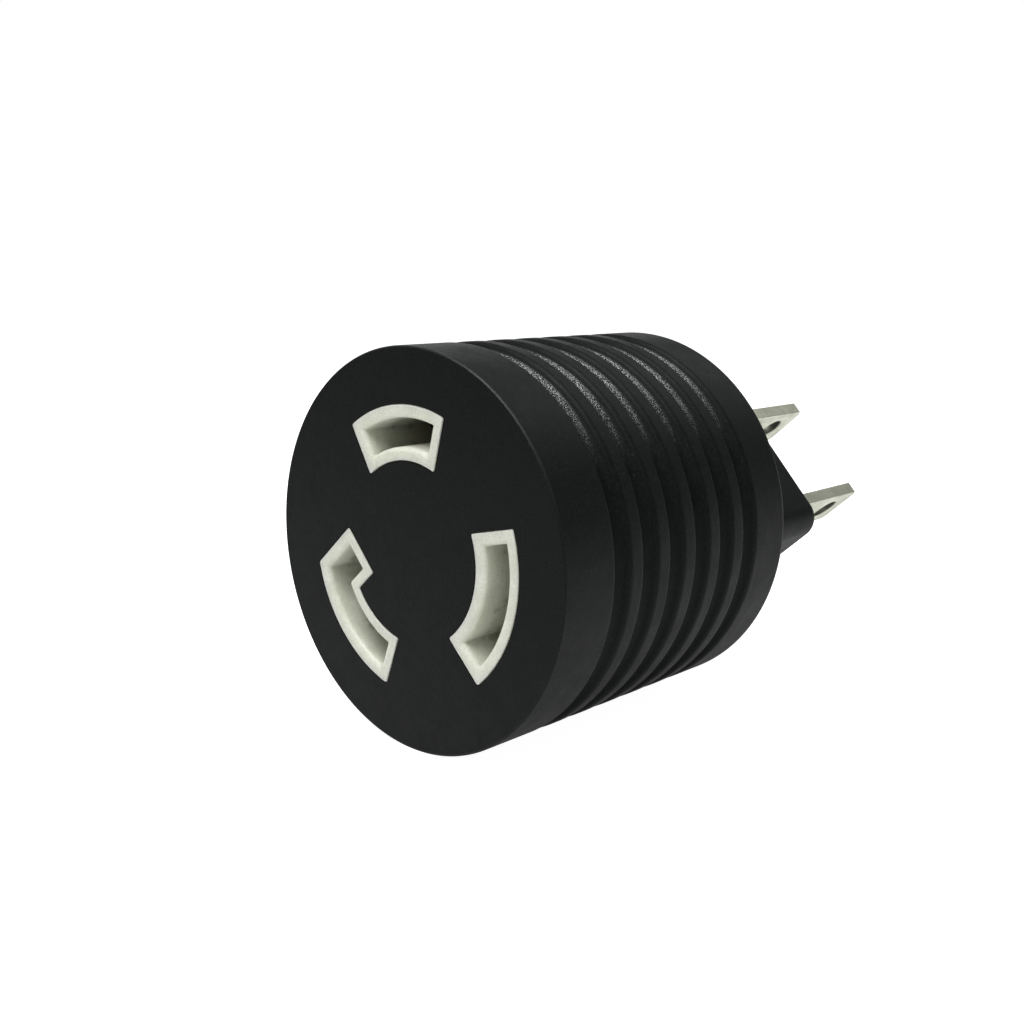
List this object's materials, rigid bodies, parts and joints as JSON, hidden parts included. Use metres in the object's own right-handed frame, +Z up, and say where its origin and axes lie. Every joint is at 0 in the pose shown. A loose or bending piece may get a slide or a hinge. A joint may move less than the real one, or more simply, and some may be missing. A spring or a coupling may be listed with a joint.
{
  "type": "locking socket to straight-blade plug power adapter",
  "caption": "Round black cordless power adapter: ribbed body, twist-lock socket with white-edged curved slots on the front, and a straight-blade plug with a round ground pin behind.",
  "frame": {"origin": "centre of the socket face, on the adapter's axis", "axes": "+Y along the adapter's axis from the socket face to the plug; +Z up, with the adapter lying on its side; +X to the right seen from the socket"},
  "size_m": [0.038, 0.0716, 0.038],
  "materials": {
    "body_black": "moulded, fine matt grain",
    "insert_white": "moulded, satin",
    "carrier_nylon": "moulded, matt",
    "inner_mould": "moulded, rough",
    "contact_brass": "stamped, satin",
    "leaf_bronze": "rolled, satin",
    "nickel_plate": "satin nickel plate",
    "screw_steel": "zinc plated",
    "bare_copper": "stranded copper",
    "insulation_black": "extruded, satin",
    "insulation_white": "extruded, satin",
    "insulation_green": "extruded, satin"
  },
  "bodies": {
    "adapter": {"overmould_body": "body_black", "socket_insert": "insert_white", "contact_carrier": "carrier_nylon", "carrier_cover": "carrier_nylon", "carrier_screws": "screw_steel", "hot_contact": "contact_brass", "neutral_contact": "contact_brass", "ground_contact": "contact_brass", "hot_conductor": "bare_copper", "neutral_conductor": "bare_copper", "ground_conductor": "bare_copper", "hot_insulation": "insulation_black", "neutral_insulation": "insulation_white", "ground_insulation": "insulation_green", "hot_blade": "nickel_plate", "neutral_blade": "nickel_plate", "ground_pin": "nickel_plate", "blade_bridge": "carrier_nylon", "bridge_retainer": "carrier_nylon", "lead_premould": "inner_mould"},
    "hot_leaf": {"hot_spring_leaf": "leaf_bronze"},
    "neutral_leaf": {"neutral_spring_leaf": "leaf_bronze"},
    "ground_leaf": {"ground_spring_leaf": "leaf_bronze"}
  },
  "joints": [
    {"name": "hot_leaf_flex", "type": "hinge", "parent": "adapter", "child": "hot_leaf", "pos_m": [-0.00131, 0.0162, 0.01027], "axis": [0.9919, 0, 0.1271], "range_deg": [0, 8], "stiffness_Nm_per_rad": 0.003},
    {"name": "neutral_leaf_flex", "type": "hinge", "parent": "adapter", "child": "neutral_leaf", "pos_m": [0.00994, 0.0162, -0.00289], "axis": [-0.279, 0, -0.9603], "range_deg": [0, 8], "stiffness_Nm_per_rad": 0.003},
    {"name": "ground_leaf_flex", "type": "hinge", "parent": "adapter", "child": "ground_leaf", "pos_m": [-0.00699, 0.0162, -0.00764], "axis": [-0.7378, 0, 0.675], "range_deg": [0, 8], "stiffness_Nm_per_rad": 0.003}
  ]
}
